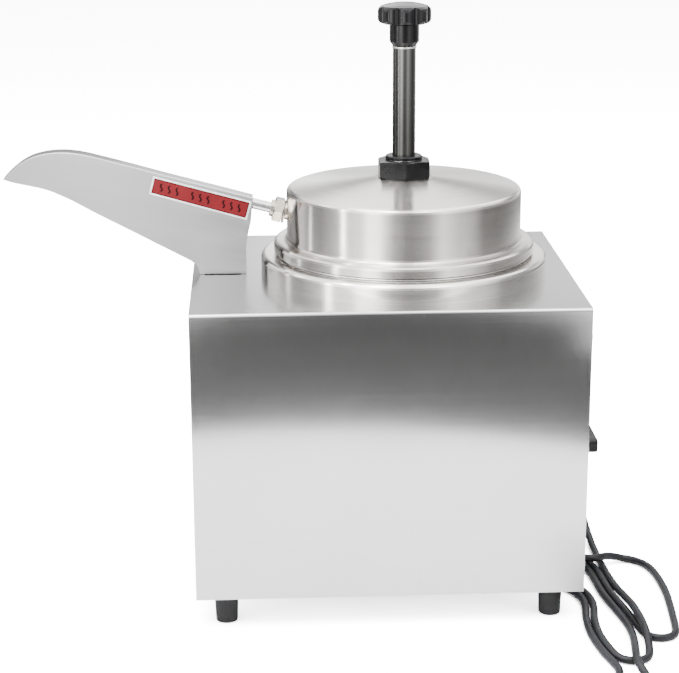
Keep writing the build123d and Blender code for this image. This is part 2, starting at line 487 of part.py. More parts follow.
half = SH_W / 2
near = plate_at(half, half - 1.0)
far = plate_at(-half, -half + 1.0)
t_up = Spline(*[(half, y, z) for y, z in TOP])
t_dn = Spline(*[(half, y, z - 1.1) for y, z in TOP])
strap = extrude(make_face([t_up, t_dn, Line(t_up @ 0, t_dn @ 0), Line(t_up @ 1, t_dn @ 1)]), SH_W, dir=(-1, 0, 0))
shroud = near + far + strap
try:
    tops = [e for e in shroud.edges() if e.length > 190 and (e @ 0.5).Z > 325 and abs(abs((e @ 0.5).X) - half) < 0.01]
    print("shroud top edges", len(tops))
    shroud = fillet(tops, 0.9)
except Exception as err:
    print("shroud fillet left out:", err)
save(shroud, "spout_shroud")
label = make_face(Polyline(*[(half, y, z) for y, z in
                             [(-172.6, 322.0), (-99.6, 301.6), (-103.1, 287.8), (-175.7, 308.6)]], close=True))
save(extrude(label, 0.35, dir=(1, 0, 0)), "shroud_label")
hp = make_face(Polyline(*[(-half + 1.0, y, z) for y, z in
                          [(-112, 297.0), (-225, 327.5), (-228.5, 318.0), (-190, 296.0), (-150, 276.0), (-118, 276.0)]],
                        close=True))
save(extrude(hp, 1.6, dir=(1, 0, 0)), "spout_heater_pad")
block = box(-half + 1.05, half - 1.05, -135.5, -107.5, 247.0, 262.0)
block += cyl(0, -128.5, 233.0, 247.5, 2.0) + cyl(0, -114.5, 233.0, 247.5, 2.0)
save(block, "shroud_plug")
socket = box(-10.8, 10.8, -135.3, -107.7, 228.0, CAB_TOP - 0.2)
socket += box(-14, 14, -138.5, -104.5, CAB_TOP - 3.0, CAB_TOP - 1.05)
for y in (-128.5, -114.5):
    socket -= cyl(0, y, 231.0, 250, 2.35)
save(socket, "heater_socket")
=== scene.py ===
import math
import bpy
import bmesh
from mathutils import Matrix, Vector


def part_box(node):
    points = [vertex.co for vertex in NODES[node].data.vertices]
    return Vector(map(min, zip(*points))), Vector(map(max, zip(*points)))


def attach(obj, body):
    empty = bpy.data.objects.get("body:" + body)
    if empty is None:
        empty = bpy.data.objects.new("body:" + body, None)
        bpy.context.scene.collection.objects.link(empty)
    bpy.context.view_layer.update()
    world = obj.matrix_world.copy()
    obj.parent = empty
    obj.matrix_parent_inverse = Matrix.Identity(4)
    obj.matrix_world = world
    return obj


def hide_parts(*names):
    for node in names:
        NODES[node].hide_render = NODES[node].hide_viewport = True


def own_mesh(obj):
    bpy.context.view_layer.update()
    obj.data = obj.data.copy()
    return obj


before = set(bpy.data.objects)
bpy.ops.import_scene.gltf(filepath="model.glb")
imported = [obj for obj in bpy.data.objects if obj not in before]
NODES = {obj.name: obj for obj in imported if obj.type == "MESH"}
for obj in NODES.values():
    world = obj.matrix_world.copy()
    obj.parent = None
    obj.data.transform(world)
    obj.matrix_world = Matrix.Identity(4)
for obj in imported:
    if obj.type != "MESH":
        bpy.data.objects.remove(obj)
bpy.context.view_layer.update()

DY = 0.0568                     # the cabinet's middle stands at this Y in the frame
AX = (0.0, 0.018 + DY)          # axis of pump, lid, pot and collar
SCENE = bpy.context.scene

# light levels
FLOOR_GAIN = 7.5
WORLD = 1.3
WALL_GAIN = 1.0
WALL_R = 0.585
# the studio wall: (degrees round from +X towards +Y, brightness), then (height, share) above the counter's end and below it
BANDS = [(-180, 2.4), (-175, 1.8), (-171, 0.8), (-165, 0.5), (-150, 0.42), (-134, 0.44), (-123, 0.64), (-113, 0.68), (-105, 0.75), (-104, 5.0),
         (-102, 5.0), (-101, 0.75), (-97, 0.64), (-87, 0.56), (-75, 0.9), (-66, 1.1), (-60, 1.2), (-59, 14.0), (-56, 14.0),
         (-54.5, 2.6), (-50, 2.4), (-37, 3.6), (-29, 8.0), (-20, 7.0), (-6, 1.5), (5, 0.58), (14, 0.62), (25, 1.3), (38, 3.3),
         (52, 1.7), (61, 1.3), (75, 0.48), (94, 0.5), (107, 0.72), (120, 1.1), (136, 1.6), (150, 1.6), (165, 1.3), (176, 1.6), (180, 2.4)]
TOPS = [(0.17, 1.05), (0.184, 0.30), (0.245, 0.30), (0.28, 1.0), (0.35, 1.2), (0.385, 1.8), (0.44, 0.9), (0.49, 0.45), (0.54, 0.6),
        (0.62, 2.4), (0.9, 2.6), (2.0, 2.6)]
HIGH = [(0.0, 0.0), (0.094, 0.0), (0.100, 2.2), (0.118, 2.0), (0.126, 1.3), (0.14, 1.2)] + TOPS
HIGH_MID = [(0.0, 0.0), (0.127, 0.0), (0.136, 1.2), (0.14, 1.2)] + TOPS
LOW = [(0.0, 0.27), (0.026, 0.19), (0.047, 0.18), (0.068, 0.16), (0.083, 0.145), (0.103, 0.115), (0.124, 0.095), (0.13, 0.0),
       (0.56, 0.0), (0.66, 1.1), (0.85, 1.3), (1.05, 2.0), (2.0, 2.0)]


def pt(x, y, z):
    """A point in cabinet-centred millimetres, in the frame's metres."""
    return Vector((x / 1000.0, y / 1000.0 + DY, z / 1000.0))


# ---- camera -----------------------------------------------------------------
yaw, pitch, roll = math.radians(2.631), math.radians(16.769), math.radians(-0.269)
fwd = Vector((-math.cos(yaw), math.sin(yaw), 0))
right = Vector((math.sin(yaw), math.cos(yaw), 0))
up = Vector((0, 0, 1))
f2 = math.cos(pitch) * fwd - math.sin(pitch) * up
u2 = math.sin(pitch) * fwd + math.cos(pitch) * up
r3 = math.cos(roll) * right + math.sin(roll) * u2
u3 = -math.sin(roll) * right + math.cos(roll) * u2
cam_data = bpy.data.cameras.new("camera")
cam_data.lens = 100.04
cam_data.sensor_width = 36.0
cam_data.shift_x = -0.00147
cam_data.shift_y = 0.03174
cam_data.clip_start = 0.05
cam = bpy.data.objects.new("camera", cam_data)
SCENE.collection.objects.link(cam)
m = Matrix((r3, u3, -f2)).transposed().to_4x4()
m.translation = pt(1419.735, -96.320, 601.821)
cam.matrix_world = m
SCENE.camera = cam

# ---- mains cord -------------------------------------------------------------
ROUTE = [
    (-86.2, 162.2, 37.1), (-80.6, 166.6, 33.5), (-72.6, 170.2, 28.6), (-62.5, 172.6, 22.7), (-50.3, 174.4, 15.9),
    (-36.7, 175.6, 9.7), (-22.4, 176.5, 5.1), (-8.0, 177.0, 3.15),
    (8, 177.2, 3.05), (26, 177.5, 3.05), (46, 178.4, 3.05), (70, 180.2, 3.6), (94, 182.8, 6.4), (117, 184.6, 9.2),
    (139, 185.4, 9.8), (157, 185.4, 9.8), (172, 184.8, 7.2), (183.5, 183.8, 4.0), (192.5, 181.6, 3.05),
    (197.4, 177.0, 3.05), (199.1, 170.5, 3.05), (197.4, 164.0, 3.05), (192.5, 159.2, 3.05), (185.5, 157.2, 3.05),
    (176, 155.4, 3.05), (165, 153.6, 3.05), (147, 152.2, 3.05), (125, 153.6, 3.05), (100, 158.0, 3.05), (79, 156.2, 3.05),
    (60, 146.8, 3.05), (46, 134.8, 3.05), (30, 125.0, 3.05), (12.5, 131.0, 3.05), (9.0, 147.0, 3.05),
    (18, 161.2, 3.05), (35, 165.4, 3.05), (55, 166.6, 3.05), (77, 167.6, 3.05),
    (100, 170.8, 3.05), (120, 174.2, 3.05), (140, 176.8, 3.2), (160, 176.2, 4.6), (180, 173.4, 8.0),
    (197, 170.6, 9.9), (212, 168.8, 9.9), (226, 170.4, 8.2), (235, 173.8, 5.4), (243.5, 175.3, 3.4),
    (251, 173.5, 3.05), (256.4, 168.0, 3.05), (258.3, 160.5, 3.05), (256.4, 153.0, 3.05), (251, 147.6, 3.05),
    (243.5, 145.8, 3.05), (235, 148.2, 3.05), (225.5, 153.0, 3.05), (214, 156.6, 3.05), (201, 154.4, 3.05), (185, 150.2, 3.05), (166, 147.4, 3.05), (147, 146.0, 3.05), (124, 147.4, 3.05),
    (98, 151.8, 3.05), (80, 149.2, 3.05), (63, 139.4, 3.05), (49, 127.2, 3.05), (32, 117.5, 3.05),
    (12, 121.0, 3.05), (2.6, 135, 3.05), (2.6, 153.0, 3.05), (14, 167.2, 3.05), (34, 171.6, 3.05),
    (54, 172.8, 3.05), (76, 174.0, 3.05),
    (98, 177.5, 3.05), (118, 181.0, 3.05), (136, 183.4, 3.05), (148.5, 185.0, 3.05), (156.4, 187.2, 3.05),
    (161.0, 191.8, 3.05), (162.6, 198.0, 3.05), (160.8, 204.2, 3.05), (156.0, 208.6, 3.05), (148, 210.8, 3.05),
    (133, 212.6, 3.05), (112, 215.0, 3.05), (80, 218.0, 3.05), (52, 217.6, 3.05),
    (35, 215.8, 3.05), (23.4, 211.8, 3.05), (15.6, 205.0, 3.05), (12.6, 196.4, 3.6), (14.4, 187.4, 6.4),
    (20, 180.4, 8.9), (24.8, 175.6, 9.9), (26.6, 169.2, 9.9), (24.8, 162.6, 9.8), (19.6, 157.8, 9.8), (12, 155.8, 9.8), (2, 155.6, 9.8),
    (-11, 155.7, 10.0), (-25.5, 156.0, 10.5),
]
curve = bpy.data.curves.new("mains_cord", "CURVE")
curve.dimensions = "3D"
spline = curve.splines.new("NURBS")
spline.points.add(len(ROUTE) - 1)
for p, q in zip(spline.points, ROUTE):
    p.co = (*pt(*q), 1.0)
    p.radius = 0.003
spline.order_u = 3
spline.use_endpoint_u = True
spline.resolution_u = 8
curve.bevel_depth = 1.0             # times each point's radius
curve.bevel_resolution = 5
curve.use_fill_caps = True
cord = bpy.data.objects.new("mains_cord", curve)
SCENE.collection.objects.link(cord)
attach(cord, "cabinet")
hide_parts("power_cord", "power_cord_hank")


# ---- node helpers -----------------------------------------------------------
class Tree:
    def __init__(self, name):
        self.mat = bpy.data.materials.new(name)
        self.mat.use_nodes = True
        self.t = self.mat.node_tree
        self.t.nodes.clear()
        self.out = self.t.nodes.new("ShaderNodeOutputMaterial")
        self.b = self.t.nodes.new("ShaderNodeBsdfPrincipled")
        self.t.links.new(self.b.outputs[0], self.out.inputs[0])
        self.coord = self.t.nodes.new("ShaderNodeTexCoord").outputs["Object"]

    def put(self, socket, value):
        if isinstance(value, bpy.types.NodeSocket):
            self.t.links.new(value, socket)
        else:
            socket.default_value = value

    def math(self, op, a, b=0.0, c=None, clamp=False):
        n = self.t.nodes.new("ShaderNodeMath")
        n.operation = op
        n.use_clamp = clamp
        self.put(n.inputs[0], a)
        self.put(n.inputs[1], b)
        if c is not None:
            self.put(n.inputs[2], c)
        return n.outputs[0]

    def xyz(self, v):
        n = self.t.nodes.new("ShaderNodeSeparateXYZ")
        self.put(n.inputs[0], v)
        return n.outputs

    def vec(self, x, y, z):
        n = self.t.nodes.new("ShaderNodeCombineXYZ")
        for s, v in zip(n.inputs, (x, y, z)):
            self.put(s, v)
        return n.outputs[0]

    def mapping(self, scale=(1, 1, 1), rot=(0, 0, 0), loc=(0, 0, 0), v=None):
        n = self.t.nodes.new("ShaderNodeMapping")
        self.put(n.inputs[0], v or self.coord)
        n.inputs["Location"].default_value = loc
        n.inputs["Rotation"].default_value = rot
        n.inputs["Scale"].default_value = scale
        return n.outputs[0]

    def noise(self, v, scale=1.0, detail=2.0, rough=0.5, distortion=0.0):
        n = self.t.nodes.new("ShaderNodeTexNoise")
        self.put(n.inputs["Vector"], v)
        n.inputs["Scale"].default_value = scale
        n.inputs["Detail"].default_value = detail
        n.inputs["Roughness"].default_value = rough
        n.inputs["Distortion"].default_value = distortion
        return n.outputs[0]

    def ramp(self, v, lo, hi, a=0.0, b=1.0):
        n = self.t.nodes.new("ShaderNodeMapRange")
        self.put(n.inputs["Value"], v)
        n.inputs["From Min"].default_value = lo
        n.inputs["From Max"].default_value = hi
        n.inputs["To Min"].default_value = a
        n.inputs["To Max"].default_value = b
        return n.outputs[0]

    def mix(self, f, a, b):
        n = self.t.nodes.new("ShaderNodeMix")
        n.data_type = "RGBA"
        self.put(n.inputs[0], f)
        self.put(n.inputs[6], (*a, 1.0) if isinstance(a, tuple) else a)
        self.put(n.inputs[7], (*b, 1.0) if isinstance(b, tuple) else b)
        return n.outputs[2]

    def bump(self, h, strength=0.2, distance=0.0005, normal=None):
        n = self.t.nodes.new("ShaderNodeBump")
        n.inputs["Strength"].default_value = strength
        n.inputs["Distance"].default_value = distance
        self.put(n.inputs["Height"], h)
        if normal is not None:
            self.put(n.inputs["Normal"], normal)
        return n.outputs[0]

    def set(self, **k):
        names = {"color": "Base Color", "metal": "Metallic", "rough": "Roughness", "normal": "Normal",
                 "coat": "Coat Weight", "coat_rough": "Coat Roughness", "aniso": "Anisotropic", "ior": "IOR",
                 "trans": "Transmission Weight", "spec": "Specular IOR Level", "sheen": "Sheen Weight",
                 "sss": "Subsurface Weight", "tangent": "Tangent"}
        for key, v in k.items():
            if key == "color" and isinstance(v, tuple):
                v = (*v, 1.0)
            self.put(self.b.inputs[names[key]], v)
        return self.mat


def shade(color, k):
    return tuple(min(1.0, c * k) for c in color)


def steel(name, color=(0.60, 0.60, 0.595), rough=0.24, grain="y", tilt=0.0, axis=AX, fine=1500.0, along=9.0,
          bump=0.10, aniso=0.0, dist=0.00006, spread=0.10, smudge=0.08, vary=1.0, worn=0.0, top=None, painted_shade_y=None):
    """Brushed stainless: long fine grain, straight along an axis or round the pump axis, smudges and a few scratches,
    with optional painted shade: darker along Y towards one end, and darker on the top face.
    """
    t = Tree(name)
    if grain == "round":
        x, y, z = t.xyz(t.coord)
        dx, dy = t.math("SUBTRACT", x, axis[0]), t.math("SUBTRACT", y, axis[1])
        r = t.math("SQRT", t.math("ADD", t.math("MULTIPLY", dx, dx), t.math("MULTIPLY", dy, dy)))
        ca = t.math("DIVIDE", dx, t.math("ADD", r, 0.002))
        sa = t.math("DIVIDE", dy, t.math("ADD", r, 0.002))
        v = t.vec(t.math("ADD", t.math("MULTIPLY", r, fine), t.math("MULTIPLY", ca, 1.6)),
                  t.math("ADD", t.math("MULTIPLY", z, fine), t.math("MULTIPLY", sa, 1.6)), t.math("MULTIPLY", sa, 0.7))
        v2 = t.vec(t.math("ADD", t.math("MULTIPLY", r, fine * 0.16), t.math("MULTIPLY", ca, 1.3)),
                   t.math("ADD", t.math("MULTIPLY", z, fine * 0.16), t.math("MULTIPLY", sa, 1.3)), 0.0)
    else:
        s = {"x": (along, fine, fine), "y": (fine, along, fine), "z": (fine, fine, along)}[grain]
        base = t.mapping(rot=(tilt, 0, 0)) if tilt else t.coord
        v = t.mapping(scale=s, v=base)
        v2 = t.mapping(scale=tuple(k * 0.16 for k in s), v=base)
    streak = t.noise(v, 1.0, 2.0, 0.6)
    wide = t.noise(v2, 1.0, 1.0, 0.5)
    blot = t.noise(t.coord, 14.0, 3.0, 0.55)
    fine_blot = t.noise(t.coord, 70.0, 2.0, 0.5)
    lines = t.math("ADD", t.math("MULTIPLY", streak, 0.65), t.math("MULTIPLY", wide, 0.35))
    color_out = t.mix(t.ramp(lines, 0.3, 0.7), shade(color, 1.0 - spread), shade(color, 1.0 + spread * 0.7))
    color_out = t.mix(t.ramp(blot, 0.45, 0.8, 0.0, 0.35), color_out, shade(color, 0.90))
    r1 = t.math("ADD", t.ramp(lines, 0.25, 0.75, rough - 0.05 * vary, rough + 0.07 * vary),
                t.math("ADD", t.ramp(blot, 0.42, 0.72, 0.0, smudge), t.ramp(fine_blot, 0.5, 0.75, 0.0, smudge * 0.4)))
    # painted shade: along Y the colour darkens towards the spout end, to about two thirds of the base colour, standing
    # in for how the shroud is lit
    if painted_shade_y:
        color_out = t.mix(t.ramp(t.xyz(t.coord)[1], painted_shade_y[0], painted_shade_y[1], 0.55, 0.0), color_out, shade(color, 0.4))
    # painted shade: the top face of the sheet gets 0.6 of the base colour, darker than the side faces, standing in for
    # what the top reflects
    if top:
        color_out = t.mix(t.ramp(t.xyz(t.coord)[2], top - 0.0006, top - 0.0002), color_out, shade(color, 0.60))
    if worn:
        r1 = t.math("ADD", r1, t.ramp(t.xyz(t.coord)[2], 0.035, 0.125, worn, 0.0))
    if top:
        r1 = t.math("ADD", r1, t.ramp(t.xyz(t.coord)[2], top - 0.0006, top - 0.0002, 0.0, 0.10))
    t.set(color=color_out, metal=1.0, rough=r1, normal=t.bump(lines, bump, dist))
    if aniso:
        t.b.inputs["Anisotropic"].default_value = aniso
        tg = t.t.nodes.new("ShaderNodeTangent")
        tg.direction_type = "RADIAL"
        tg.axis = "Z"
        t.b.inputs["Anisotropic Rotation"].default_value = 0.25
        t.put(t.b.inputs["Tangent"], tg.outputs[0])
    return t.mat


def plated(name, color, rough=0.22):
    t = Tree(name)
    a = t.noise(t.coord, 240.0, 3.0, 0.55)
    c = t.noise(t.coord, 1400.0, 2.0, 0.5)
    return t.set(color=t.mix(t.ramp(a, 0.3, 0.7), shade(color, 0.86), shade(color, 1.05)), metal=1.0,
                 rough=t.ramp(a, 0.3, 0.7, rough - 0.04, rough + 0.10), normal=t.bump(c, 0.08, 0.00008))


def moulded(name, color, rough=0.35, grain=2200.0, bump=0.10, coat=0.0, spread=0.16, wear=0.10, dist=0.00008, spec=0.5):
    """Moulded plastic or rubber: fine surface texture, rubbed patches and a little dust."""
    t = Tree(name)
    g = t.noise(t.coord, grain, 2.0, 0.55)
    a = t.noise(t.coord, 60.0, 4.0, 0.6)
    d = t.noise(t.coord, 420.0, 3.0, 0.6)
    col = t.mix(t.ramp(a, 0.3, 0.7), shade(color, 1.0 - spread), shade(color, 1.0 + spread))
    dust = tuple(min(1.0, c * 0.9 + 0.012) for c in color)
    t.b.inputs["Specular IOR Level"].default_value = spec
    col = t.mix(t.ramp(t.math("MULTIPLY", a, d), 0.26, 0.46, 0.0, wear * 2.2), col, dust)
    t.set(color=col, rough=t.ramp(a, 0.3, 0.72, rough - 0.05, rough + wear), normal=t.bump(g, bump, dist))
    if coat:
        t.b.inputs["Coat Weight"].default_value = coat
        t.b.inputs["Coat Roughness"].default_value = 0.12
    return t.mat


def woven(name, color):
    t = Tree(name)
    a = t.noise(t.mapping(scale=(900, 900, 160)), 1.0, 3.0, 0.6, 0.6)
    b = t.noise(t.coord, 120.0, 4.0, 0.6)
    return t.set(color=t.mix(t.ramp(a, 0.3, 0.7), shade(color, 0.72), shade(color, 1.1)), rough=0.9,
                 normal=t.bump(t.math("ADD", a, b), 0.6, 0.0008))


TILT = math.radians(14.7)
# cabinet steel: its top face gets painted shade, a darker colour than the sides of the same sheet
STEEL_SIDE = steel("cabinet_steel_painted_top_shade", (0.71, 0.71, 0.71), grain="y", rough=0.11, fine=1500, along=5, top=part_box("cabinet_wrap")[1][2], bump=0.02, spread=0.03, smudge=0.012, vary=0.12, worn=0.26)
STEEL_END = steel("panel_steel", (0.68, 0.68, 0.68), grain="x", rough=0.13, fine=1500, along=5, bump=0.02, spread=0.03, smudge=0.012, vary=0.12, worn=0.26)
# shroud steel: painted shade along Y, darker towards the spout end
STEEL_SHROUD = steel("shroud_steel_painted_shade", (0.385, 0.385, 0.387), grain="y", tilt=TILT, rough=0.30, fine=1000, along=9, bump=0.03, spread=0.08, vary=0.5, painted_shade_y=(-0.225, -0.08))
STEEL_ROUND = steel("spun_steel", (0.615, 0.59, 0.56), grain="round", rough=0.18, fine=1400, bump=0.06, spread=0.08, aniso=0.85, vary=0.4, smudge=0.04)
STEEL_RING = steel("ring_steel", (0.76, 0.735, 0.70), grain="round", rough=0.18, fine=1400, bump=0.06, spread=0.08, aniso=0.85, vary=0.4, smudge=0.04)
STEEL_POT = steel("pot_steel", (0.62, 0.61, 0.60), grain="round", rough=0.24, fine=1200, bump=0.05, spread=0.08, vary=0.5)
STEEL_WELL = steel("well_steel", (0.56, 0.55, 0.54), grain="round", rough=0.33, fine=700, bump=0.16, smudge=0.12)
STEEL_TUBE = steel("tube_steel", (0.55, 0.545, 0.54), grain="z", rough=0.17, fine=900, along=8, bump=0.03, smudge=0.05)
# painted shade: the plunger tube's steel is a darkened copy of tube steel (0.09 against 0.55), so that it shows darker
STEEL_SHAFT = steel("shaft_steel_painted_shade", (0.09, 0.09, 0.086), grain="z", rough=0.16, fine=900, along=8, bump=0.03, smudge=0.04)
ZINC = plated("bright_zinc", (0.62, 0.62, 0.60))
NICKEL = plated("nickel_fitting", (0.40, 0.355, 0.31), 0.20)
BRASS = plated("turned_brass", (0.72, 0.52, 0.25), 0.25)
COPPER = plated("drawn_copper", (0.68, 0.36, 0.22), 0.28)
BLACK = moulded("black_gloss", (0.003, 0.003, 0.0036), 0.22, 1800, 0.08, spec=0.2)
BLACK_MATTE = moulded("black_matte", (0.022, 0.022, 0.023), 0.48, 1500, 0.22)
RUBBER = moulded("foot_rubber", (0.014, 0.014, 0.015), 0.62, 1300, 0.30, wear=0.16, spec=0.3)
LABEL = moulded("label_vinyl", (0.15, 0.005, 0.008), 0.42, 1600, 0.05, spread=0.08, wear=0.02, spec=0.2)
LENS = Tree("lamp_lens")
_n = LENS.noise(LENS.coord, 900.0, 2.0)
LENS.set(color=LENS.mix(_n, (0.62, 0.02, 0.01), (0.85, 0.05, 0.03)), rough=LENS.ramp(_n, 0.3, 0.7, 0.06, 0.14),
         trans=0.55, normal=LENS.bump(_n, 0.15, 0.0001))
ROCKER = moulded("rocker_plastic", (0.34, 0.010, 0.008), 0.22, 1500, 0.06, coat=0.4, spread=0.08, wear=0.05)
NYLON = moulded("white_nylon", (0.62, 0.60, 0.54), 0.42, 1200, 0.15)
FOOD = moulded("pump_plastic", (0.66, 0.65, 0.61), 0.36, 1200, 0.12)
SILICONE = moulded("silicone_mat", (0.40, 0.09, 0.05), 0.55, 700, 0.35)
WIRE = moulded("wire_sleeve", (0.34, 0.04, 0.03), 0.45, 1500, 0.2)
MICA = moulded("mica_sheet", (0.46, 0.38, 0.28), 0.5, 500, 0.3)
BLANKET = woven("glass_blanket", (0.62, 0.60, 0.52))
ALU = steel("dial_alu", (0.44, 0.45, 0.46), grain="x", rough=0.33, fine=1100, along=14, bump=0.12)

# cord sheath: drawn along its length, a little scuffed
t = Tree("cord_sheath")
_a = t.noise(t.coord, 85.0, 4.0, 0.6)
_b = t.noise(t.coord, 1500.0, 2.0, 0.5)
t.set(color=t.mix(t.ramp(_a, 0.3, 0.7), (0.006, 0.006, 0.0075), (0.012, 0.012, 0.0145)),
      rough=t.ramp(_a, 0.3, 0.7, 0.36, 0.50), normal=t.bump(_b, 0.16, 0.0001))
t.b.inputs["Specular IOR Level"].default_value = 0.22
SHEATH = t.mat
PLUG = moulded("plug_pvc", (0.016, 0.016, 0.018), 0.42, 1500, 0.18, spec=0.35)

USE = {
    "cabinet_wrap": STEEL_SIDE, "base_plate": STEEL_SIDE, "front_panel": STEEL_END, "rear_panel": STEEL_END,
    "rubber_feet": RUBBER, "foot_screws": ZINC, "foot_nuts": ZINC, "rear_panel_screws": ZINC,
    "collar_studs_and_nuts": ZINC, "well_collar": STEEL_RING, "heating_well": STEEL_WELL,
    "insulation_blanket": BLANKET, "heater_plate": MICA, "heater_clamp_plate": STEEL_WELL,
    "thermal_cutout": BLACK_MATTE, "thermostat_body": BLACK_MATTE, "thermostat_capillary": COPPER,
    "dial_plate": ALU, "switch_housing": BLACK, "pilot_lamp_body": BLACK_MATTE, "pilot_lamp_lens": LENS.mat,
    "terminal_block": NYLON, "earth_stud": BRASS, "internal_wiring": WIRE, "cord_strain_relief": PLUG,
    "power_plug": PLUG, "plug_pins": BRASS, "heater_socket": BLACK, "thermostat_spindle": ZINC,
    "thermostat_knob": BLACK, "rocker_button": ROCKER, "inner_pot": STEEL_POT, "pump_lid": STEEL_ROUND,
    "lid_lock_nut": BLACK, "pump_cylinder": STEEL_TUBE, "shaft_bush": BLACK, "valve_body": FOOD,
    "riser_tube": STEEL_TUBE, "discharge_fitting": NICKEL, "fitting_washer": NICKEL, "fitting_nut": NICKEL,
    "spout_tube": STEEL_TUBE, "inlet_ball": STEEL_TUBE, "outlet_ball": STEEL_TUBE, "plunger_tube": STEEL_SHAFT,
    "piston": FOOD, "piston_seal": RUBBER, "shaft_end_plug": STEEL_TUBE, "knob_washer": ZINC, "knob_stud": ZINC,
    "star_knob": BLACK, "return_spring": STEEL_TUBE, "spout_shroud": STEEL_SHROUD, "shroud_label": LABEL,
    "spout_heater_pad": SILICONE, "shroud_plug": BLACK,
}


def give(o, material):
    if not o.data.materials:
        o.data.materials.append(material)
    for s in o.material_slots:
        s.material = material


for name, o in NODES.items():
    give(o, USE.get(name, BLACK_MATTE))
give(cord, SHEATH)


# ---- the spring inside the pump, a copy of its mesh carried by the pump body -----
coil = bpy.data.objects.new("return_coil", NODES["return_spring"].data.copy())
SCENE.collection.objects.link(coil)
give(coil, STEEL_TUBE)
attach(coil, "pump")
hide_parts("return_spring")
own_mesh(coil)


# ---- printed label on the shroud --------------------------------------------
def mesh_piece(name, verts, faces, material, body, slot):
    me = bpy.data.meshes.new(name)
    me.from_pydata([tuple(v) for v in verts], [], faces)
    me.update()
    o = bpy.data.objects.new(name, me)
    SCENE.collection.objects.link(o)
    me.materials.append(material)
    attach(o, body)
    return o


WHITE_INK = moulded("white_ink", (0.78, 0.77, 0.75), 0.4, 1500, 0.05, spread=0.04, wear=0.03)
LABEL_WHITE = plated("label_white_foil", (0.93, 0.93, 0.93), 0.40)
DARK_INK = moulded("dark_ink", (0.050, 0.003, 0.004), 0.6, 1500, 0.05, spread=0.1, wear=0.0, spec=0.02)
BLACK_INK = moulded("black_ink", (0.020, 0.006, 0.007), 0.6, 1500, 0.05, spread=0.1, wear=0.0, spec=0.02)
L0 = Vector((0, -99.5, 301.1))
L1 = Vector((0, -172.1, 321.4))
L2 = Vector((0, -175.3, 309.2))
L3 = Vector((0, -103.2, 288.3))


def on_label(u, v, lift=0.06):
    """u from the pump end (0) to the spout end (1), v from the top (0) to the bottom (1)."""
    p = L0.lerp(L1, u).lerp(L3.lerp(L2, u), v)
    return pt(7.8 + lift, p.y, p.z)


LU, LV = (L1 - L0).length, (L3 - L0).length


def frame_strip(u_in, v_in, width, lift, base=0.0):
    """A closed band inside the label's edge, as a thin solid: distances in mm."""
    vs, fs = [], []
    rect = lambda d: [((u_in + d) / LU, (v_in + d) / LV), (1 - (u_in + d) / LU, (v_in + d) / LV),
                      (1 - (u_in + d) / LU, 1 - (v_in + d) / LV), ((u_in + d) / LU, 1 - (v_in + d) / LV)]
    for ll in (base, lift):
        for d in (0.0, width):
            vs += [on_label(u, v, ll) for u, v in rect(d)]
    for i in range(4):
        j = (i + 1) % 4
        fs += [(8 + i, 8 + j, 12 + j, 12 + i), (i, j, 8 + j, 8 + i), (4 + i, 4 + j, 12 + j, 12 + i), (i, j, 4 + j, 4 + i)]
    return vs, fs


mesh_piece("label_white_border", *frame_strip(-0.8, -0.8, 1.3, 0.12, -0.3), LABEL_WHITE, "shroud", "label_red")
mesh_piece("label_inner_line", *frame_strip(0.5, 0.5, 0.65, 0.12), DARK_INK, "shroud", "label_red")


def ribbon(points, half, lift=0.12):
    """A thin raised stroke along (u, v) points in mm from the label's top corner at the pump end."""
    vs, fs, n = [], [], len(points)
    for i, (a, b) in enumerate(points):
        a0, b0 = points[max(0, i - 1)]
        a1, b1 = points[min(n - 1, i + 1)]
        d = math.hypot(a1 - a0, b1 - b0)
        nx, ny = -(b1 - b0) / d * half, (a1 - a0) / d * half
        for s, l in ((1, 0.0), (-1, 0.0), (1, lift), (-1, lift)):
            vs.append(on_label((a + s * nx) / LU, (b + s * ny) / LV, l))
    for i in range(n - 1):
        k = 4 * i
        fs += [(k + 2, k + 3, k + 7, k + 6), (k, k + 2, k + 6, k + 4), (k + 1, k + 5, k + 7, k + 3), (k, k + 4, k + 5, k + 1)]
    fs += [(0, 1, 3, 2), (4 * n - 4, 4 * n - 2, 4 * n - 1, 4 * n - 3)]
    return vs, fs


all_v, all_f = [], []
for c in range(11):
    if c in (3, 7):
        continue
    u0 = 7.2 + c * 6.1
    pts = [(u0 + 0.9 * math.sin((k / 16.0) * 2 * math.pi), 3.7 + k / 16.0 * (LV - 7.4)) for k in range(17)]
    v, f = ribbon(pts, 0.62)
    all_f += [tuple(i + len(all_v) for i in q) for q in f]
    all_v += v
mesh_piece("label_heat_waves", all_v, all_f, BLACK_INK, "shroud", "label_red")

# ---- dial, knob and switch marks on the back --------------------------------
HY, CTRL_Z, KNOB_Y, SWITCH_X = 145.0, 102.5, 172.0, 62.0


def slab(corners, y, lift=0.06):
    """A thin printed patch on a plane facing +Y: corners are (x, z) in mm, anticlockwise from behind."""
    n = len(corners)
    vs = [pt(x, y + l, z) for l in (0.0, lift) for x, z in corners]
    return vs, [tuple(range(n, 2 * n))] + [(i, (i + 1) % n, n + (i + 1) % n, n + i) for i in range(n)]


def join(parts):
    vs, fs = [], []
    for v, f in parts:
        fs += [tuple(i + len(vs) for i in q) for q in f]
        vs += v
    return vs, fs


def radial(angle, r0, r1, w, y):
    """A stroke along a radius, angle in degrees clockwise from +X as seen from behind."""
    c, q = math.cos(math.radians(angle)), math.sin(math.radians(angle))
    return slab([(r * c - e * q, CTRL_Z + r * q + e * c) for r, e in ((r0, -w / 2), (r1, -w / 2), (r1, w / 2), (r0, w / 2))], y)


DIAL_Y = HY - 0.3
ticks = [radial(13.5 * i, 21.3, 23.6 if i % 2 == 0 else 22.6, 0.9 if i % 2 == 0 else 0.5, DIAL_Y) for i in range(21)]
mesh_piece("dial_ticks", *join(ticks), BLACK_INK, "cabinet", "black_plastic")


